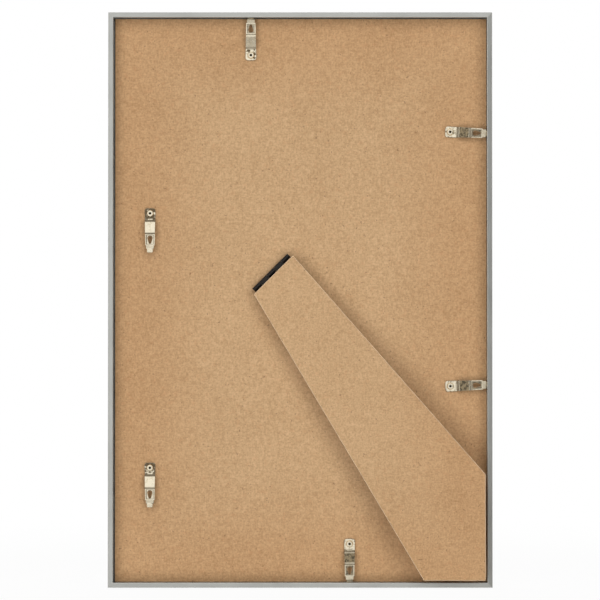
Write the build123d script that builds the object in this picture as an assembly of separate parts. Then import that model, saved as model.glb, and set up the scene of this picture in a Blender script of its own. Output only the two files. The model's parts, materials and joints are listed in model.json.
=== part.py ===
from build123d import *
import math
import os

# A portrait photo frame for 20 x 30 cm pictures, upright, with its back towards -Y and its front towards +Y.
# The origin is the middle of the bottom rail's underside. Lengths are in millimetres, angles in degrees.

# Aluminium rails
FRAME_WIDTH = 206.0
FRAME_HEIGHT = 308.4
OUTER_WALL = 1.0
FRONT_FACE = 6.5  # width of the front lip
FRONT_LIP = 1.2  # thickness of the front lip
BACK_RIM = 2.7  # width of the rim round the back
RIM_THICKNESS = 1.8
RIM_FALL = 0.15  # how far the rim's back falls towards the outer edge
SHELF_THICKNESS = 1.0  # web between the clip groove and the key channel
SHELF_RISE = 0.8  # groove floor above the back of the board
KEY_LIP_WIDTH = 0.5  # return lips that keep the corner keys in
KEY_LIP_HEIGHT = 0.8
RAIL_EDGE_ROUND = 0.3

# Bent steel corner keys inside the rails
KEY_LEG = 20.0
KEY_PLAY = 0.05
KEY_HEEL_BEVEL = 0.6

# Pane, paper and board, from front to back
PANE_THICKNESS = 2.0
PANE_PLAY = 0.3
PAPER_THICKNESS = 0.3
PAPER_PLAY = 0.4
BOARD_THICKNESS = 2.5
BOARD_GAP_LEFT = 0.9
BOARD_GAP_RIGHT = 0.2
BOARD_GAP_TOP = 0.5
BOARD_GAP_BOTTOM = 0.2

# Turn clips: lengths run from the rivet to the tip, rises are measured from the board to the clip's underside
CLIP_SHEET = 0.6
CLIP_SEAT_GAP = 0.1
CLIP_END = 2.7  # from the rivet back to the clip's end
CLIP_END_ROUND = 1.4
CLIP_END_WIDTH = 5.9
CLIP_WIDTH = 5.1  # at the far end of the keyhole plate
CLIP_BEND_RADIUS = 0.7
RIVET_PLATE = 3.6
RAMP_RUN = 1.2
RAMP_RISE = 1.3
RIDGE_RUN = 5.4
RIDGE_RISE = 2.2
RIDGE_DROP_RUN = 0.8
KEYHOLE_PLATE = 6.3
KEYHOLE_RISE = 1.6
DART_START = 2.1  # stiffening dart pressed across the bend between rivet plate and ramp
DART_WIDTH = 2.6
NECK_RUN = 1.7
NECK_WIDTH = 4.2
TONGUE_RISE = 2.3
TONGUE_LENGTH = 2.1
TONGUE_WIDTH = 3.1
TONGUE_CHAMFER = 0.4
TONGUE_CLEARANCE = 0.3  # under the rim
PANEL_BORDER = 0.75  # metal left round the floor of the sunk panel
PANEL_DEPTH = 0.25
PANEL_SLOPE = 45.0  # lean of the panel's sides
KEYHOLE_WIDE_RADIUS = 1.35
KEYHOLE_NARROW_RADIUS = 0.65
KEYHOLE_SLIDE = 2.4  # from the wide end's centre to the narrow end's
KEYHOLE_MARGIN = 0.25  # metal left between the panel's edge and the wide end

# Places of the clips, and how far their tips stop short of the rail's outer wall
SIDE_TIP_GAP = 0.25
TOP_TIP_GAP = 0.6
BOTTOM_TIP_GAP = 1.1
END_CLIP_OFFSET = 26.5
NEAR_CLIP_OFFSET = 46.4
FAR_CLIP_OFFSET = 90.2
CLIP_UP = 0.0
CLIP_DOWN = 180.0
RIGHT_UPPER_HEADING = 92.7
RIGHT_LOWER_HEADING = 87.7

# Hollow rivets
SHANK_RADIUS = 1.2
PIVOT_CLEARANCE = 0.05
HEAD_RADIUS = 2.0
HEAD_HEIGHT = 0.8
HEAD_GAP = 0.1
HEAD_BEVEL = 0.5
RIVET_BORE_RADIUS = 0.65
RIVET_BORE_DEPTH = 2.6
FLANGE_RADIUS = 2.4
FLANGE_THICKNESS = 0.5
RIVET_SEAT_PLAY = 0.05

# Black barrel hinge of the easel leg
HINGE_X = -15.5
HINGE_RISE = 14.5  # above the middle of the frame
HINGE_TILT = 45.0
HINGE_WIDTH = 26.6
KNUCKLES = 5
KNUCKLE_GAP = 0.15
PIN_RADIUS = 0.6
PIN_CLEARANCE = 0.03
LEAF_SHEET = 0.6
LEAF_LENGTH = 16.0
BARREL_LIFT = 0.15
NOTCH_CLEARANCE = 0.35
STOP_LIP_HEIGHT = 0.67
STOP_LIP_SLACK = 2.0
PRONG_WIDTH = 2.4
PRONG_LENGTH = 1.8
PRONG_SPREAD = 16.0
PRONG_FIRST_ROW = 6.0  # from the hinge axis
PRONG_ROW_PITCH = 6.0

# Fibreboard easel leg
LEG_THICKNESS = 2.5
LEG_TOP_WIDTH = 29.5
LEG_SETBACK = 1.75  # top edge to hinge axis
LEG_SIDE_GAP = 1.3
LEG_FOOT_GAP = 1.6
PORTRAIT_FOOT = 33.0
LANDSCAPE_FOOT = 56.6
LEG_CORNER = 1.6
LEG_REST_ANGLE = 2.5  # how far the leg stands open
LEG_OPEN_ANGLE = 32.5  # from lying parallel to the board to its stop

# Levels along the depth, measured from the front face
paper_level = FRONT_LIP + PANE_THICKNESS
board_level = paper_level + PAPER_THICKNESS
board_back = board_level + BOARD_THICKNESS
shelf_top = board_back + SHELF_RISE
shelf_under = shelf_top - SHELF_THICKNESS
rim_under = board_back + TONGUE_RISE + CLIP_SHEET + TONGUE_CLEARANCE
depth = rim_under + RIM_THICKNESS
front_y = depth / 2
board_back_y = front_y - board_back
opening_width = FRAME_WIDTH - 2 * BACK_RIM
opening_height = FRAME_HEIGHT - 2 * BACK_RIM

# Hinge axis and barrel
barrel_radius = PIN_RADIUS + PIN_CLEARANCE + LEAF_SHEET
axis_rise = barrel_radius + BARREL_LIFT
leg_under = axis_rise + barrel_radius
hinge_z = FRAME_HEIGHT / 2 + HINGE_RISE
along_hinge = Vector(math.cos(math.radians(HINGE_TILT)), 0, math.sin(math.radians(HINGE_TILT)))
towards_foot = Vector(along_hinge.Z, 0, -along_hinge.X)
hinge_centre = Vector(HINGE_X, board_back_y - axis_rise, hinge_z)
hinge_axis = Axis(hinge_centre, along_hinge * -1)
hinge_place = Pos(HINGE_X, 0, hinge_z) * Rot(0, -HINGE_TILT, 0)


def section_plane(x, y):
    """Plane of a cross-section: its first axis runs up, its second from front to back."""
    return Plane(origin=(x, y, 0), x_dir=(0, 0, 1), z_dir=(1, 0, 0))


def back_plane(y):
    """Plane seen from behind the frame: its first axis runs right, its second up."""
    return Plane(origin=(0, y, 0), x_dir=(1, 0, 0), z_dir=(0, -1, 0))


def block(left, right, low, high):
    """Rectangle between two pairs of sides."""
    return Pos(left, low) * Rectangle(right - left, high - low, align=(Align.MIN, Align.MIN))


def sheet(width, height, thickness, level):
    """Flat panel in the middle of the frame, its front face at a level of the depth."""
    panel = Box(width, thickness, height)
    return Pos(0, front_y - level - thickness / 2, FRAME_HEIGHT / 2) * panel


def rail_section():
    """Extruded section: outer wall, front lip, key channel, shelf, clip groove and back rim."""
    key_mouth = BACK_RIM - KEY_LIP_WIDTH
    outer_back = (0, depth - RIM_FALL)
    inner_back = (BACK_RIM, depth)
    bar = make_face(Polyline((0, 0), (BACK_RIM, 0), inner_back, outer_back, close=True))
    section = bar + block(0, FRONT_FACE, 0, FRONT_LIP)
    section -= block(OUTER_WALL, BACK_RIM, shelf_top, rim_under)
    section -= block(OUTER_WALL, key_mouth, FRONT_LIP, shelf_under)
    section -= block(key_mouth, BACK_RIM, FRONT_LIP + KEY_LIP_HEIGHT, shelf_under - KEY_LIP_HEIGHT)
    seen_corners = [(0, 0), (FRONT_FACE, 0), outer_back, inner_back]
    rounded = [section.vertices().sort_by_distance((u, w, 0))[0] for u, w in seen_corners]
    return fillet(rounded, RAIL_EDGE_ROUND)


def rail(length):
    """Rail lying along X with its outer face down, both ends mitred."""
    bar = extrude(section_plane(-length / 2, front_y) * rail_section(), length)
    half = length / 2
    corners = [(-half, 0), (half, 0), (half - FRONT_FACE, FRONT_FACE), (FRONT_FACE - half, FRONT_FACE)]
    mitre = make_face(Polyline(*corners, close=True))
    return bar & extrude(back_plane(front_y) * mitre, depth)


def corner_key():
    """Bent strip for the corner at the origin, with one leg along X and one along Z."""
    outside = OUTER_WALL + KEY_PLAY
    inside = BACK_RIM - KEY_LIP_WIDTH - KEY_PLAY
    reach = outside + KEY_LEG
    bent = block(outside, reach, outside, reach) - block(inside, reach, inside, reach)
    heel = bent.vertices().sort_by_distance((outside, outside, 0))[0]
    bent = chamfer(heel, KEY_HEEL_BEVEL)
    channel_height = shelf_under - FRONT_LIP
    front_edge = back_plane(front_y - FRONT_LIP - KEY_PLAY)
    return extrude(front_edge * bent, channel_height - 2 * KEY_PLAY)


# Stations along the clip, from its rivet to its tip
ramp_end = RIVET_PLATE + RAMP_RUN
ridge_end = ramp_end + RIDGE_RUN
keyhole_start = ridge_end + RIDGE_DROP_RUN
keyhole_end = keyhole_start + KEYHOLE_PLATE
tongue_start = keyhole_end + NECK_RUN
clip_reach = tongue_start + TONGUE_LENGTH
panel_start = keyhole_start + PANEL_BORDER
panel_end = keyhole_end - PANEL_BORDER


def keyhole():
    """Teardrop: the wide end, towards the rivet, takes a nail's head, and the narrow end holds its shank."""
    wide_centre = panel_start + KEYHOLE_MARGIN + KEYHOLE_WIDE_RADIUS
    wide = Pos(0, wide_centre) * Circle(KEYHOLE_WIDE_RADIUS)
    narrow = Pos(0, wide_centre + KEYHOLE_SLIDE) * Circle(KEYHOLE_NARROW_RADIUS)
    return make_hull(wide.edges() + narrow.edges())


def turn_clip():
    """Stamped clip, rivet hole at the origin and tongue up: bent sheet, dart, sunk panel and keyhole."""
    bend_line = FilletPolyline(
        (-CLIP_END, CLIP_SEAT_GAP),
        (RIVET_PLATE, CLIP_SEAT_GAP),
        (ramp_end, RAMP_RISE),
        (ridge_end, RIDGE_RISE),
        (keyhole_start, KEYHOLE_RISE),
        (keyhole_end, KEYHOLE_RISE),
        (tongue_start, TONGUE_RISE),
        (clip_reach, TONGUE_RISE),
        radius=CLIP_BEND_RADIUS,
    )
    bend_profile = make_face(offset(bend_line, CLIP_SHEET, side=Side.LEFT))
    bent = extrude(section_plane(-CLIP_END_WIDTH / 2, board_back_y) * bend_profile, CLIP_END_WIDTH)
    end_half = CLIP_END_WIDTH / 2
    far_half = CLIP_WIDTH / 2
    far_side = [(far_half, keyhole_end), (-far_half, keyhole_end)]
    plate = make_face(Polyline((-end_half, -CLIP_END), (end_half, -CLIP_END), *far_side, close=True))
    plate = fillet(plate.vertices().group_by(Axis.Y)[0], CLIP_END_ROUND)
    neck = block(-NECK_WIDTH / 2, NECK_WIDTH / 2, keyhole_start, tongue_start)
    tongue = block(-TONGUE_WIDTH / 2, TONGUE_WIDTH / 2, keyhole_start, clip_reach)
    tongue = chamfer(tongue.vertices().group_by(Axis.Y)[-1], TONGUE_CHAMFER)
    blank = plate + neck + tongue
    blank -= Circle(SHANK_RADIUS + PIVOT_CLEARANCE)
    blank -= keyhole()
    clip = bent & extrude(back_plane(board_back_y) * blank, TONGUE_RISE + 2 * CLIP_SHEET)
    dart_low = CLIP_SEAT_GAP + CLIP_SHEET / 2
    dart_high = RAMP_RISE + CLIP_SHEET / 2
    dart_foot = [(DART_START, dart_low), (RIVET_PLATE, dart_low)]
    dart_side = make_face(Polyline(*dart_foot, (ramp_end, dart_high), close=True))
    clip += extrude(section_plane(-DART_WIDTH / 2, board_back_y) * dart_side, DART_WIDTH)
    panel_side = far_half - PANEL_BORDER
    panel = block(-panel_side, panel_side, panel_start, panel_end)
    panel_floor = back_plane(board_back_y - KEYHOLE_RISE - CLIP_SHEET + PANEL_DEPTH)
    return clip - extrude(panel_floor * panel, PANEL_DEPTH, taper=-PANEL_SLOPE)


side_x = FRAME_WIDTH / 2 - OUTER_WALL - SIDE_TIP_GAP - clip_reach
top_z = FRAME_HEIGHT - OUTER_WALL - TOP_TIP_GAP - clip_reach
bottom_z = OUTER_WALL + BOTTOM_TIP_GAP + clip_reach
middle_z = FRAME_HEIGHT / 2
clip_places = {
    "top_clip": (-END_CLIP_OFFSET, top_z, CLIP_UP),
    "bottom_clip": (END_CLIP_OFFSET, bottom_z, CLIP_DOWN),
    "left_upper_clip": (-side_x, middle_z + NEAR_CLIP_OFFSET, CLIP_DOWN),
    "left_lower_clip": (-side_x, middle_z - FAR_CLIP_OFFSET, CLIP_DOWN),
    "right_upper_clip": (side_x, middle_z + FAR_CLIP_OFFSET, RIGHT_UPPER_HEADING),
    "right_lower_clip": (side_x, middle_z - NEAR_CLIP_OFFSET, RIGHT_LOWER_HEADING),
}


def rivet():
    """Hollow rivet on the Y axis: a flange let into the board's front, a bevelled head over the clip."""
    head_under = CLIP_SEAT_GAP + CLIP_SHEET + HEAD_GAP
    head_top = head_under + HEAD_HEIGHT
    bore_floor = head_top - RIVET_BORE_DEPTH
    outline = Polyline(
        (0, bore_floor),
        (0, -BOARD_THICKNESS),
        (FLANGE_RADIUS, -BOARD_THICKNESS),
        (FLANGE_RADIUS, FLANGE_THICKNESS - BOARD_THICKNESS),
        (SHANK_RADIUS, FLANGE_THICKNESS - BOARD_THICKNESS),
        (SHANK_RADIUS, head_under),
        (HEAD_RADIUS, head_under),
        (HEAD_RADIUS - HEAD_BEVEL, head_top),
        (RIVET_BORE_RADIUS, head_top),
        (RIVET_BORE_RADIUS, bore_floor),
        close=True,
    )
    half_section = make_face(outline)
    half_plane = Plane(origin=(0, board_back_y, 0), x_dir=(1, 0, 0), z_dir=(0, 0, -1))
    return revolve(half_plane * half_section, Axis((0, board_back_y, 0), (0, -1, 0)))


def knuckle_spans(first):
    """Stretches of the hinge axis taken by every second knuckle, counted from the first one given."""
    pitch = (HINGE_WIDTH + KNUCKLE_GAP) / KNUCKLES
    starts = [count * pitch - HINGE_WIDTH / 2 for count in range(first, KNUCKLES, 2)]
    return [(start, start + pitch - KNUCKLE_GAP) for start in starts]


def prong(row, place, root, direction):
    """Triangular tooth bent out of a leaf, pressed into the fibreboard."""
    tip = root + direction * PRONG_LENGTH
    half = PRONG_WIDTH / 2
    tooth = make_face(Polyline((place - half, root), (place + half, root), (place, tip), close=True))
    tooth_plane = Plane(origin=(0, board_back_y, -row), x_dir=(1, 0, 0), z_dir=(0, 0, -1))
    return extrude(tooth_plane * tooth, LEAF_SHEET)


def hinge_leaf(first_knuckle, plate_rise, prong_root, prong_direction, stop_lip):
    """Leaf lying flat in the hinge's own frame: plate, every second knuckle, notches and prongs."""
    end_plane = section_plane(-HINGE_WIDTH / 2, board_back_y)
    plate = block(-LEAF_LENGTH, 0, plate_rise, plate_rise + LEAF_SHEET)
    leaf = extrude(end_plane * plate, HINGE_WIDTH)
    barrel_place = Pos(0, axis_rise)
    notch_size = 2 * (barrel_radius + NOTCH_CLEARANCE)
    notch = barrel_place * Rectangle(notch_size, notch_size)
    for start, end in knuckle_spans(1 - first_knuckle):
        length = end - start + 2 * KNUCKLE_GAP
        leaf -= extrude(section_plane(start - KNUCKLE_GAP, board_back_y) * notch, length)
    for start, end in knuckle_spans(first_knuckle):
        ring = barrel_place * Circle(barrel_radius) + stop_lip
        leaf += extrude(section_plane(start, board_back_y) * ring, end - start)
    bore = barrel_place * Circle(PIN_RADIUS + PIN_CLEARANCE)
    leaf -= extrude(end_plane * bore, HINGE_WIDTH)
    for row in (PRONG_FIRST_ROW, PRONG_FIRST_ROW + PRONG_ROW_PITCH):
        for place in (-PRONG_SPREAD / 2, PRONG_SPREAD / 2):
            window_plane = back_plane(board_back_y - plate_rise)
            window = block(place - PRONG_WIDTH / 2, place + PRONG_WIDTH / 2, -row, PRONG_LENGTH - row)
            leaf -= extrude(window_plane * window, LEAF_SHEET)
            leaf += prong(row, place, prong_root, prong_direction)
    return leaf


def stop_lip_section():
    """Lip on the fixed knuckles, where the leg leaf's notch comes to rest when the leg is fully open."""
    lip_radius = barrel_radius + STOP_LIP_HEIGHT
    notch_angle = math.degrees(math.atan2(barrel_radius, barrel_radius + NOTCH_CLEARANCE))
    half_lip_angle = math.degrees(math.asin(LEAF_SHEET / 2 / lip_radius))
    lip_angle = notch_angle + LEG_OPEN_ANGLE + half_lip_angle + STOP_LIP_SLACK
    lip = Pos(lip_radius / 2, 0) * Rectangle(lip_radius, LEAF_SHEET)
    return Pos(0, axis_rise) * Rot(0, 0, 180 - lip_angle) * lip


def leg_panel():
    """Leg lying flat, parallel to the board."""
    top_middle = hinge_centre + towards_foot * LEG_SETBACK
    top_left = top_middle - along_hinge * (LEG_TOP_WIDTH / 2)
    top_right = top_middle + along_hinge * (LEG_TOP_WIDTH / 2)
    right = FRAME_WIDTH / 2 - BACK_RIM - LEG_SIDE_GAP
    low = BACK_RIM + LEG_FOOT_GAP
    shoulder = (right, low + LANDSCAPE_FOOT)
    heel = (right - PORTRAIT_FOOT, low)
    top_edge = [(top_left.X, top_left.Z), (top_right.X, top_right.Z)]
    outline = make_face(Polyline(*top_edge, shoulder, (right, low), heel, close=True))
    outline = fillet(outline.vertices().sort_by_distance(shoulder)[0], LEG_CORNER)
    return extrude(back_plane(board_back_y - leg_under) * outline, LEG_THICKNESS)


# Rails
parts = {
    "bottom_rail": rail(FRAME_WIDTH),
    "top_rail": Pos(0, 0, FRAME_HEIGHT) * Rot(0, 180, 0) * rail(FRAME_WIDTH),
    "left_rail": Pos(-FRAME_WIDTH / 2, 0, middle_z) * Rot(0, 90, 0) * rail(FRAME_HEIGHT),
    "right_rail": Pos(FRAME_WIDTH / 2, 0, middle_z) * Rot(0, -90, 0) * rail(FRAME_HEIGHT),
}

# Corner keys
key_places = {
    "bottom_left": (-FRAME_WIDTH / 2, 0, 0),
    "bottom_right": (FRAME_WIDTH / 2, 0, -90),
    "top_right": (FRAME_WIDTH / 2, FRAME_HEIGHT, 180),
    "top_left": (-FRAME_WIDTH / 2, FRAME_HEIGHT, 90),
}
for corner, (x, z, turn) in key_places.items():
    parts["corner_key_" + corner] = Pos(x, 0, z) * Rot(0, turn, 0) * corner_key()

# Pane and paper
pane_width = opening_width - 2 * PANE_PLAY
pane_height = opening_height - 2 * PANE_PLAY
parts["front_pane"] = sheet(pane_width, pane_height, PANE_THICKNESS, FRONT_LIP)
paper_width = opening_width - 2 * PAPER_PLAY
paper_height = opening_height - 2 * PAPER_PLAY
parts["paper_insert"] = sheet(paper_width, paper_height, PAPER_THICKNESS, paper_level)

# Hinge, with the leaves folded flat between the leg and the board
board_leaf = hinge_place * hinge_leaf(0, 0, 0, -1, stop_lip_section())
leg_leaf = hinge_place * hinge_leaf(1, leg_under - LEAF_SHEET, leg_under, 1, Sketch())
pin_line = section_plane(-HINGE_WIDTH / 2, board_back_y) * Pos(0, axis_rise) * Circle(PIN_RADIUS)
parts["hinge_pin"] = hinge_place * extrude(pin_line, HINGE_WIDTH)
parts["hinge_board_leaf"] = board_leaf

# Leg, opened a little
leg = leg_panel() - leg_leaf
parts["easel_leg"] = leg.rotate(hinge_axis, LEG_REST_ANGLE)
parts["hinge_leg_leaf"] = leg_leaf.rotate(hinge_axis, LEG_REST_ANGLE)

# Board, with seats for the rivets and for the hinge's prongs
board_width = opening_width - BOARD_GAP_LEFT - BOARD_GAP_RIGHT
board_height = opening_height - BOARD_GAP_TOP - BOARD_GAP_BOTTOM
board = sheet(board_width, board_height, BOARD_THICKNESS, board_level)
board = Pos((BOARD_GAP_LEFT - BOARD_GAP_RIGHT) / 2, 0, (BOARD_GAP_BOTTOM - BOARD_GAP_TOP) / 2) * board
board_front = back_plane(board_back_y + BOARD_THICKNESS)
shank_hole = extrude(board_front * Circle(SHANK_RADIUS + RIVET_SEAT_PLAY), BOARD_THICKNESS)
flange_seat = extrude(board_front * Circle(FLANGE_RADIUS + RIVET_SEAT_PLAY), FLANGE_THICKNESS)
rivet_seat = shank_hole + flange_seat
for x, z, heading in clip_places.values():
    board -= Pos(x, 0, z) * rivet_seat
parts["backing_board"] = board - board_leaf

# Clips and their rivets
for name, (x, z, heading) in clip_places.items():
    parts[name] = Pos(x, 0, z) * Rot(0, heading, 0) * turn_clip()
rivets = [Pos(x, 0, z) * rivet() for x, z, heading in clip_places.values()]
parts["clip_rivets"] = Compound(children=rivets)

os.makedirs("parts", exist_ok=True)
for name, shape in parts.items():
    export_step(shape, f"parts/{name}.step")
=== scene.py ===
import json
import math

import bpy
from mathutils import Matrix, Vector


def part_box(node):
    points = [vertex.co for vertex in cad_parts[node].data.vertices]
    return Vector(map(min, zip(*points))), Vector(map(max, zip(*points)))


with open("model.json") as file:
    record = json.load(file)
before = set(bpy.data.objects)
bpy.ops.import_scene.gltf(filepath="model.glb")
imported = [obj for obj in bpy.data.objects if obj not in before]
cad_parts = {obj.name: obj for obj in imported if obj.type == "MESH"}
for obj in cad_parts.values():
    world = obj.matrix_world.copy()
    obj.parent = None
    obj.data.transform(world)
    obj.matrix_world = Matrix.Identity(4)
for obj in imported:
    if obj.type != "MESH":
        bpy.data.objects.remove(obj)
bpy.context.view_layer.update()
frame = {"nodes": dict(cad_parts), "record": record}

# The picture is square. One px of it is this many metres at the frame's back rim.
IMAGE_WIDTH = 600
PX = 0.0005356
RIM_Y = -0.0055
AIM = Vector((-0.0001, RIM_Y, 0.1540))  # near the frame's middle
CAMERA_DISTANCE = 1.5
CAMERA_DROP = 0.02
SENSOR = 36.0

# Strengths of the studio's light: a faint fill from all round and two soft rings, one behind the
# frame and one before it. A ring's edges are in degrees from the line square to the frame: where
# it starts, where it is full from and to, and where it ends.
FILL = 0.04
RING = 1.87
RING_EDGES = (27.0, 39.0, 57.0, 67.0)

# Two places in the studio that the rails mirror, in degrees: how far to the right of the camera
# and above it, then the radius of the even middle and that of the soft edge.
DIM_PLACE = (21.5, 1.0, 15.0, 17.5)
BRIGHT_PLACE = (-2.0, 26.0, 17.0, 40.0)

# Colours of the studio in linear light, and how strongly metal sees its plain and its dim parts
WHITE = (1.0, 1.0, 1.0, 1.0)
SOFT_WHITE = (1.0, 0.985, 0.96, 1.0)
PALE = (1.0, 0.99, 0.98, 1.0)
PALE_STRENGTH = 0.78
DIM = (1.0, 0.95, 0.88, 1.0)
DIM_STRENGTH = 0.02

FLOOR_SIZE = 8.0
FLOOR_WHITE = 0.95  # share of plain white at the frame, the rest of which keeps its shadow
FLOOR_FADE = (150.0, 600.0)  # millimetres from the frame over which the shadow ends

RAILS_ACROSS = ("top_rail", "bottom_rail")
RAILS_UPRIGHT = ("left_rail", "right_rail")
KEYS = (
    "corner_key_top_left",
    "corner_key_top_right",
    "corner_key_bottom_left",
    "corner_key_bottom_right",
)
LOOSE_CLIPS = ("left_upper_clip", "left_lower_clip")
HELD_CLIPS = ("bottom_clip", "right_upper_clip", "right_lower_clip")
HINGE = ("hinge_board_leaf", "hinge_leg_leaf", "hinge_pin")

# Levels along the depth, in millimetres, of the clips' rivet plates, their tongues and the sunk
# panels round their keyholes
CLIP_SHEET = 0.6
RIVET_PLATE = 1000.0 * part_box("top_clip")[1].y - CLIP_SHEET
TONGUE = 1000.0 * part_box("top_clip")[0].y
MOUNT_PLACES = {mount["name"]: mount["pos_m"] for mount in frame["record"]["mounts"]}
SUNK_PANEL = 1000.0 * MOUNT_PLACES["portrait_keyhole"][1]

# Softened edges, in millimetres, and the sheet's corners, which are drawn in along their diagonals
LEG_EDGE = 0.45
CLIP_EDGE = 0.1
RIVET_EDGE = 0.12
SHEET_CORNER = 0.03
JOINED_WITHIN = 1e-6  # metres
FLAT_WITHIN = 1.0  # degrees between faces that count as one
SHARP_OVER = 30.0  # degrees between faces whose edge is softened

FIBRE_STRETCH = 0.22  # the board's fibres are so drawn out along their length
RAIL_STRETCH = 0.01  # and so are the lines along the rails


def operator(operation, swapped=False):
    """A Python operator that adds one Math node."""

    def apply(self, other=0.0):
        first, second = (other, self) if swapped else (self, other)
        return self.finish.node("ShaderNodeMath", {"operation": operation}, {0: first, 1: second})

    return apply


class Wire:
    """A shader socket that takes part in Python expressions."""

    __add__ = __radd__ = operator("ADD")
    __sub__ = operator("SUBTRACT")
    __rsub__ = operator("SUBTRACT", swapped=True)
    __mul__ = __rmul__ = operator("MULTIPLY")
    __abs__ = operator("ABSOLUTE")
    __or__ = operator("MAXIMUM")

    def __init__(self, finish, socket):
        self.finish = finish
        self.socket = socket


class Finish:
    """A node tree being wired up, for a material or for the studio's surroundings."""

    def __init__(self, owner):
        owner.use_nodes = True
        self.owner = owner
        self.tree = owner.node_tree
        self.tree.nodes.clear()

    def node(self, kind, settings=None, sockets=None, output=0):
        """Adds a node: its settings first, then the values or links of its sockets."""
        made = self.tree.nodes.new(kind)
        for name, value in (settings or {}).items():
            setattr(made, name, value)
        for name, value in (sockets or {}).items():
            if isinstance(value, Wire):
                self.tree.links.new(value.socket, made.inputs[name])
            else:
                made.inputs[name].default_value = value
        return Wire(self, made.outputs[output]) if made.outputs else None

    def millimetres(self, stretch=(1.0, 1.0, 1.0)):
        """Place on the piece in millimetres, stretched along each axis."""
        place = self.node("ShaderNodeTexCoord", output="Object")
        scale = [1000.0 * share for share in stretch]
        return self.node("ShaderNodeVectorMath", {"operation": "MULTIPLY"}, {0: place, 1: scale})

    def noise(self, place, per_mm, detail=2.0, roughness=0.5):
        """Cloudy value round one half, with so many clouds to the millimetre."""
        sockets = {"Vector": place, "Scale": per_mm, "Detail": detail, "Roughness": roughness}
        return self.node("ShaderNodeTexNoise", {}, sockets, "Fac")

    def step(self, value, low, high):
        """Smooth step from nought at low to one at high."""
        sockets = {"Value": value, "From Min": low, "From Max": high}
        return self.node("ShaderNodeMapRange", {"interpolation_type": "SMOOTHSTEP"}, sockets)

    def tint(self, share, plain, other, blend="MIX"):
        """Colour from plain, at a share of nought, to other, or to the two multiplied, at one."""
        colours = (plain, other)
        plain, other = (value if isinstance(value, Wire) else srgb(*value) for value in colours)
        settings = {"data_type": "RGBA", "blend_type": blend}
        return self.node("ShaderNodeMix", settings, {0: share, 6: plain, 7: other}, 2)

    def along(self, axis, vector):
        """Share of a vector along X, to the right, Y, from back to front, or Z, up."""
        return self.node("ShaderNodeSeparateXYZ", {}, {0: vector}, axis)

    def past_edges(self, name):
        """Millimetres past the nearest edge of a panel, so below nought on the panel itself."""
        place = self.millimetres()
        low, high = (1000.0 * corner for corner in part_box(name))
        middle, half = (high + low) / 2, (high - low) / 2
        across = abs(self.along("X", place) - middle.x) - half.x
        upright = abs(self.along("Z", place) - middle.z) - half.z
        return across | upright

    def lean(self):
        """One on faces square to the front of the frame, minus one on those square to its back."""
        return self.along("Y", self.node("ShaderNodeTexCoord", output="Normal"))

    def bump(self, height, depth_mm, strength=1.0):
        """Normal of a surface with that relief."""
        sockets = {"Height": height, "Distance": depth_mm / 1000.0, "Strength": strength}
        return self.node("ShaderNodeBump", {}, sockets)

    def surface(self, **sockets):
        """Ends the material in a principled surface."""
        named = {name.replace("_", " "): value for name, value in sockets.items()}
        shader = self.node("ShaderNodeBsdfPrincipled", {}, named)
        self.node("ShaderNodeOutputMaterial", {}, {"Surface": shader})
        return self.owner


def srgb(red, green, blue):
    """Colour as written in a picture, from 0 to 255, in linear light."""
    shares = [channel / 255 for channel in (red, green, blue)]
    linear = [s / 12.92 if s < 0.04045 else ((s + 0.055) / 1.055) ** 2.4 for s in shares]
    return (*linear, 1.0)


def new_finish(name):
    return Finish(bpy.data.materials.new(name))


def pressed_fibreboard():
    """Smooth side of hardboard: mottled pulp, fibres, flecks, painted shade along its margins, pale
    cut edges.
    """
    finish = new_finish("pressed_fibreboard")
    dark_pulp, pale_pulp, warm_pulp = (178, 141, 100), (223, 187, 145), (207, 157, 114)
    margin_shade_tone, dark_fleck, cut_edge = (246, 238, 231), (118, 84, 56), (240, 212, 176)
    place = finish.millimetres()
    clouds = finish.noise(place, per_mm=0.03)
    mottle = finish.noise(place, per_mm=0.22, detail=3.0, roughness=0.6)
    pulp = finish.noise(place, per_mm=1.1, detail=3.0, roughness=0.65)
    fibres_up = finish.noise(finish.millimetres((1.0, 1.0, FIBRE_STRETCH)), per_mm=1.5)
    fibres_across = finish.noise(finish.millimetres((FIBRE_STRETCH, 1.0, 1.0)), per_mm=1.5)
    tone = (
        clouds * 0.14 + mottle * 0.08 + pulp * 0.7 + fibres_up * 0.22 + fibres_across * 0.22 - 0.18
    )
    colour = finish.tint(finish.step(tone, 0.2, 0.8), dark_pulp, pale_pulp)
    warm = finish.step(finish.noise(place, per_mm=0.4), 0.56, 0.72)
    colour = finish.tint(warm * 0.24, colour, warm_pulp)
    # Painted shade: the board darkens towards its margins, as if light fell off from its middle.
    margin_shade = finish.step(finish.past_edges("backing_board"), -65.0, -5.0)
    colour = finish.tint(margin_shade, colour, margin_shade_tone, "MULTIPLY")
    fleck = finish.step(finish.noise(place, per_mm=0.75, detail=1.0), 0.72, 0.77)
    colour = finish.tint(fleck * 0.55, colour, dark_fleck)
    cut = 1.0 - finish.step(abs(finish.lean()), 0.9, 0.97)
    colour = finish.tint(cut * 0.9, colour, cut_edge)
    relief = pulp * 0.6 + fibres_up * 0.3 + fibres_across * 0.3
    return finish.surface(
        Base_Color=colour,
        Roughness=0.72 + pulp * 0.16,
        Specular_IOR_Level=0.3,
        Normal=finish.bump(relief, depth_mm=0.05, strength=0.5),
    )


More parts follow.
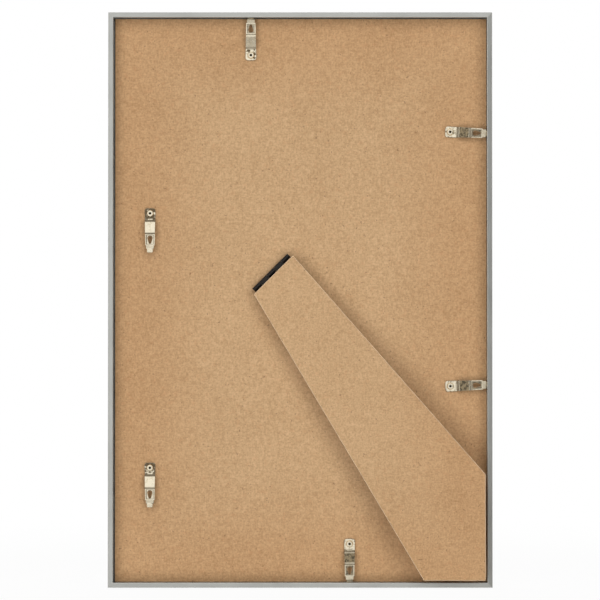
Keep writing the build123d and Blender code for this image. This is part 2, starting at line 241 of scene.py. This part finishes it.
def anodised_rail(name, stretch):
    """Satin grey anodised aluminium with faint lines along it, and a painted highlight along its back
    edges.
    """
    finish = new_finish(name)
    dark_grey, pale_grey, rub_and_highlight_tone = (174, 175, 171), (194, 195, 191), (232, 233, 230)
    drawn = finish.noise(finish.millimetres(stretch), per_mm=5.0, detail=3.0, roughness=0.6)
    cloud = finish.noise(finish.millimetres(), per_mm=0.06)
    tone = drawn * 0.5 + cloud * 0.5
    colour = finish.tint(finish.step(tone, 0.25, 0.75), dark_grey, pale_grey)
    # Painted highlight: a pale tint on the rounded faces along the back rim.
    from_back = finish.along("Y", finish.millimetres()) - 1000.0 * RIM_Y
    back_edge = 1.0 - finish.step(from_back, 0.25, 0.45)
    wear_and_highlight = back_edge * (1.0 - finish.step(abs(finish.lean()), 0.8, 0.97))
    colour = finish.tint(wear_and_highlight * 0.7, colour, rub_and_highlight_tone)
    return finish.surface(
        Base_Color=colour,
        Metallic=0.55,
        Roughness=0.16 + drawn * 0.1 + cloud * 0.06,
        Normal=finish.bump(drawn, depth_mm=0.004, strength=0.5),
    )


def nickel_plate(name, shade_in_bends, reflection_on_ridge, shade_in_panel, shade_on_tongue, shade_round_rivet):
    """Bright nickel on stamped steel, dulled in patches; painted shade darkens its undersides, bends
    and rivet bores and, in patches with some tarnishing, its rivet plates; painted reflection and
    shade darken its ridge, sunk panel and tongue.
    """
    finish = new_finish(name)
    bright, dulled, shade_and_tarnish_tone = (241, 230, 205), (184, 166, 132), (78, 60, 29)
    pale_reflection_shade, dark_reflection_shade = (146, 130, 101), (70, 61, 45)
    place = finish.millimetres()
    smudge = finish.noise(place, per_mm=0.5, detail=3.0, roughness=0.6)
    fine = finish.noise(place, per_mm=6.0, detail=3.0, roughness=0.6)
    wave = finish.noise(place, per_mm=0.35, detail=1.0)
    grain = finish.step(finish.noise(place, per_mm=0.85, roughness=0.6), 0.4, 0.6)
    dull = finish.step(smudge, 0.42, 0.72)
    lean = finish.lean()
    # Painted shade in the bends: steep faces are darkened by the given share.
    steep = finish.step(abs(lean), 0.25, 0.5) * (1.0 - finish.step(abs(lean), 0.86, 0.985))
    flat = finish.step(abs(lean), 0.988, 0.997)
    ridge = finish.step(abs(lean), 0.96, 0.98) * (1.0 - flat)
    # Painted shade on faces that turn towards the board.
    underneath = finish.step(lean, 0.2, 0.5)
    level = finish.along("Y", place)
    panel, plate, tongue = (
        flat * (1.0 - finish.step(abs(level - height), 0.04, 0.12))
        for height in (SUNK_PANEL, RIVET_PLATE, TONGUE)
    )
    # Painted shade in the rivet bores.
    bore = finish.step(level, RIVET_PLATE, RIVET_PLATE + CLIP_SHEET)
    # Painted shade round the rivets, in patches, partly standing for tarnishing; the larger the
    # share, the more of each plate it covers.
    shade_threshold = 0.7 - 0.3 * shade_round_rivet
    plate_shade_and_stain = plate * finish.step(smudge + fine * 0.15, shade_threshold, shade_threshold + 0.15)
    # Painted reflection and shade: ridges, sunk panels and tongues are darkened by the given shares,
    # as where they mirror dim places or lie in the rails' shadow.
    painted_reflection_and_shade = ridge * reflection_on_ridge | panel * shade_in_panel | tongue * shade_on_tongue
    # Painted shade, with some tarnishing on the rivet plates; it darkens the tint and lowers
    # metallic, and raises roughness.
    shade_and_tarnish = steep * shade_in_bends | plate_shade_and_stain * 0.92 | underneath | bore
    colour = finish.tint(dull * 0.4, bright, dulled)
    colour = finish.tint(painted_reflection_and_shade, colour, finish.tint(grain, pale_reflection_shade, dark_reflection_shade))
    colour = finish.tint(shade_and_tarnish, colour, shade_and_tarnish_tone)
    return finish.surface(
        Base_Color=colour,
        Metallic=1.0 - shade_and_tarnish * 0.85,
        Specular_IOR_Level=0.25,
        Roughness=0.1 + dull * 0.1 + fine * 0.06 + (painted_reflection_and_shade | shade_and_tarnish) * 0.2,
        Normal=finish.bump(wave + fine * 0.03, depth_mm=0.12, strength=0.4),
    )


def black_lacquer():
    """Black stoved lacquer on the hinge, scuffed grey in patches."""
    finish = new_finish("black_lacquer")
    black, rub_and_highlight_tone = (26, 21, 17), (84, 78, 70)
    place = finish.millimetres()
    wear_and_highlight = finish.step(finish.noise(place, per_mm=0.9, detail=4.0, roughness=0.7), 0.52, 0.72)
    fine = finish.noise(place, per_mm=4.0, detail=3.0)
    return finish.surface(
        Base_Color=finish.tint(wear_and_highlight * 0.35, black, rub_and_highlight_tone),
        Specular_IOR_Level=0.3,
        Roughness=0.3 + fine * 0.15 + wear_and_highlight * 0.1,
        Normal=finish.bump(fine, depth_mm=0.02, strength=0.4),
    )


def zinc_strip():
    """Zinc-plated strip of the corner keys."""
    finish = new_finish("zinc_strip")
    dark_zinc, pale_zinc = (188, 190, 194), (212, 214, 217)
    spangle = finish.noise(finish.millimetres(), per_mm=0.8)
    colour = finish.tint(finish.step(spangle, 0.4, 0.65), dark_zinc, pale_zinc)
    return finish.surface(Base_Color=colour, Metallic=1.0, Roughness=0.3 + spangle * 0.15)


def float_glass():
    """Clear pane, faintly green and smeared, see-through by alpha so that light reaches the sheet."""
    finish = new_finish("float_glass")
    smear = finish.noise(finish.millimetres((1.0, 1.0, 0.3)), per_mm=0.05, detail=3.0)
    return finish.surface(
        Base_Color=(0.95, 0.985, 0.97, 1.0),
        Roughness=finish.step(smear, 0.5, 0.9) * 0.04,
        IOR=1.5,
        Alpha=0.12,
    )


def plain_paper():
    """Unprinted off-white sheet, with painted shade at its outermost edges, which the front lip
    hides.
    """
    finish = new_finish("plain_paper")
    grey_white, pale_white, painted_gap_shade = (231, 229, 222), (240, 238, 232), (92, 80, 62)
    place = finish.millimetres()
    fibre = finish.noise(place, per_mm=1.2, detail=4.0, roughness=0.65)
    cloud = finish.noise(place, per_mm=0.04)
    colour = finish.tint(finish.step(fibre * 0.6 + cloud * 0.4, 0.3, 0.7), grey_white, pale_white)
    # Painted shade on the sheet's outer edges, which darkens the gaps round the board seen from the
    # back.
    edge = finish.step(finish.past_edges("paper_insert"), -2.5, -1.2)
    return finish.surface(
        Base_Color=finish.tint(edge, colour, painted_gap_shade),
        Roughness=0.9,
        Normal=finish.bump(fibre, depth_mm=0.03, strength=0.3),
    )


def join_corners(piece):
    weld = piece.modifiers.new("joined_corners", "WELD")
    weld.merge_threshold = JOINED_WITHIN


def draw_in(name, corner_mm):
    """Draws in a sheet's corners, so that it shares no face with the pane it lies against."""
    piece = frame["nodes"][name]
    join_corners(piece)
    hair = piece.modifiers.new("hair_gap", "DISPLACE")
    hair.mid_level = 0.0
    hair.strength = -corner_mm / 1000.0


def soften_edges(names, width_mm, segments=2):
    """Rounds the sharp edges of pieces a little, as tumbling or stamping does."""
    for name in names:
        piece = frame["nodes"][name]
        join_corners(piece)
        flat = piece.modifiers.new("whole_faces", "DECIMATE")
        flat.decimate_type = "DISSOLVE"
        flat.angle_limit = math.radians(FLAT_WITHIN)
        edge = piece.modifiers.new("soft_edges", "BEVEL")
        edge.width = width_mm / 1000.0
        edge.segments = segments
        edge.limit_method = "ANGLE"
        edge.angle_limit = math.radians(SHARP_OVER)
        edge.use_clamp_overlap = False
        shade = piece.modifiers.new("even_shading", "WEIGHTED_NORMAL")
        shade.keep_sharp = False


def dress(names, material):
    for name in names:
        piece = frame["nodes"][name]
        piece.data.materials.clear()
        piece.data.materials.append(material)


def light_path(finish, output):
    return finish.node("ShaderNodeLightPath", output=output)


def seen_directly(finish):
    """One for camera rays and those that metal or glass sends on, if nothing matt came first."""
    rays = [light_path(finish, f"Is {kind} Ray") for kind in ("Camera", "Glossy", "Transmission")]
    scattered = finish.step(light_path(finish, "Diffuse Depth"), 0.0, 1.0)
    return (rays[0] | rays[1] | rays[2]) * (1.0 - scattered)


def mix_shaders(finish, share, first, second):
    return finish.node("ShaderNodeMixShader", {}, {0: share, 1: first, 2: second})


def studio_floor():
    """Floor that shows white, with a soft shadow, and neither lights the frame nor shades it."""
    bpy.ops.mesh.primitive_plane_add(size=FLOOR_SIZE)
    floor = bpy.context.object
    floor.name = "studio_floor"
    finish = new_finish("pale_floor")
    paint = finish.noise(finish.millimetres(), per_mm=0.01)
    painted = finish.tint(paint, (240, 240, 240), (246, 246, 246))
    matt = finish.node("ShaderNodeBsdfDiffuse", {}, {"Color": painted})
    white = finish.node("ShaderNodeEmission", {}, {"Color": WHITE, "Strength": 1.0})
    place = finish.millimetres()
    away = finish.node("ShaderNodeVectorMath", {"operation": "LENGTH"}, {0: place}, "Value")
    share = FLOOR_WHITE + finish.step(away, *FLOOR_FADE) * (1.0 - FLOOR_WHITE)
    mixed = mix_shaders(finish, seen_directly(finish) * share, matt, white)
    finish.node("ShaderNodeOutputMaterial", {}, {"Surface": mixed})
    floor.data.materials.append(finish.owner)
    floor.visible_diffuse = False
    floor.visible_glossy = False
    floor.visible_shadow = False


def surroundings():
    """White studio: soft light from two rings, and a dim and a bright place for metal to mirror."""
    world = bpy.data.worlds.new("white_studio")
    bpy.context.scene.world = world
    finish = Finish(world)
    towards = finish.node("ShaderNodeTexCoord", output="Generated")

    def light(colour, strength):
        return finish.node("ShaderNodeBackground", {}, {"Color": colour, "Strength": strength})

    def nearness(right, up):
        """Cosine of the angle from a place so far to the right of the camera and above it."""
        right, up = math.radians(right), math.radians(up)
        aim = (math.sin(right) * math.cos(up), -math.cos(right) * math.cos(up), math.sin(up))
        sockets = {0: towards, 1: aim}
        return finish.node("ShaderNodeVectorMath", {"operation": "DOT_PRODUCT"}, sockets, "Value")

    def disc(near, inner, outer):
        """One inside a round patch of the studio, nought outside it."""
        return finish.step(near, math.cos(math.radians(outer)), math.cos(math.radians(inner)))

    square_on = abs(nearness(0.0, 0.0))
    in_ring = disc(square_on, *RING_EDGES[2:]) * (1.0 - disc(square_on, *RING_EDGES[:2]))
    soft = mix_shaders(finish, in_ring, light(SOFT_WHITE, FILL), light(SOFT_WHITE, RING))
    from_camera = light_path(finish, "Is Camera Ray")
    bright = disc(nearness(*BRIGHT_PLACE[:2]), *BRIGHT_PLACE[2:]) | from_camera
    dark = disc(nearness(*DIM_PLACE[:2]), *DIM_PLACE[2:]) * (1.0 - from_camera)
    studio = mix_shaders(finish, bright, light(PALE, PALE_STRENGTH), light(WHITE, 1.0))
    studio = mix_shaders(finish, dark, studio, light(DIM, DIM_STRENGTH))
    mixed = mix_shaders(finish, seen_directly(finish), soft, studio)
    finish.node("ShaderNodeOutputWorld", {}, {"Surface": mixed})


def softbox(name, place, width, height, power):
    """Large soft lamp aimed at the middle of the frame."""
    lamp = bpy.data.lights.new(name, "AREA")
    lamp.shape = "RECTANGLE"
    lamp.size = width
    lamp.size_y = height
    lamp.energy = power
    holder = bpy.data.objects.new(name, lamp)
    holder.location = place
    holder.rotation_euler = (AIM - Vector(place)).to_track_quat("-Z", "Y").to_euler()
    bpy.context.scene.collection.objects.link(holder)


def camera():
    """Camera behind the frame, a little below its middle and aimed at it."""
    lens = bpy.data.cameras.new("camera")
    lens.sensor_width = SENSOR
    lens.lens = SENSOR * CAMERA_DISTANCE / (IMAGE_WIDTH * PX)
    holder = bpy.data.objects.new("camera", lens)
    holder.location = AIM + Vector((0.0, -CAMERA_DISTANCE, -CAMERA_DROP))
    holder.rotation_euler = (AIM - holder.location).to_track_quat("-Z", "Y").to_euler()
    bpy.context.scene.collection.objects.link(holder)
    bpy.context.scene.camera = holder


# Shares of painted shade and painted reflection for each set of clips.
loose_nickel = nickel_plate(
    "nickel_loose_clips", shade_in_bends=0.8, reflection_on_ridge=0.0, shade_in_panel=0.1, shade_on_tongue=0.0, shade_round_rivet=0.95
)
top_nickel = nickel_plate(
    "nickel_top_clip", shade_in_bends=0.55, reflection_on_ridge=0.4, shade_in_panel=0.6, shade_on_tongue=0.8, shade_round_rivet=0.6
)
held_nickel = nickel_plate(
    "nickel_held_clips", shade_in_bends=0.7, reflection_on_ridge=0.95, shade_in_panel=0.85, shade_on_tongue=0.75, shade_round_rivet=0.3
)
rivet_nickel = nickel_plate(
    "nickel_rivets", shade_in_bends=0.0, reflection_on_ridge=0.0, shade_in_panel=0.0, shade_on_tongue=0.0, shade_round_rivet=0.0
)

dress(("backing_board", "easel_leg"), pressed_fibreboard())
dress(RAILS_ACROSS, anodised_rail("anodised_rail_across", (RAIL_STRETCH, 1.0, 1.0)))
dress(RAILS_UPRIGHT, anodised_rail("anodised_rail_upright", (1.0, 1.0, RAIL_STRETCH)))
dress(LOOSE_CLIPS, loose_nickel)
dress(("top_clip",), top_nickel)
dress(HELD_CLIPS, held_nickel)
dress(("clip_rivets",), rivet_nickel)
dress(HINGE, black_lacquer())
dress(KEYS, zinc_strip())
dress(("front_pane",), float_glass())
dress(("paper_insert",), plain_paper())
draw_in("paper_insert", SHEET_CORNER)
soften_edges(("easel_leg",), LEG_EDGE)
soften_edges(("top_clip",) + LOOSE_CLIPS + HELD_CLIPS, CLIP_EDGE)
soften_edges(("clip_rivets",), RIVET_EDGE)

surroundings()
studio_floor()
softbox("main_softbox", place=(-0.3, -0.8, 1.25), width=0.7, height=0.5, power=0.5)
softbox("left_softbox", place=(-0.9, -1.1, 0.45), width=0.5, height=0.9, power=0.2)
camera()
bpy.context.scene.view_settings.view_transform = "Standard"
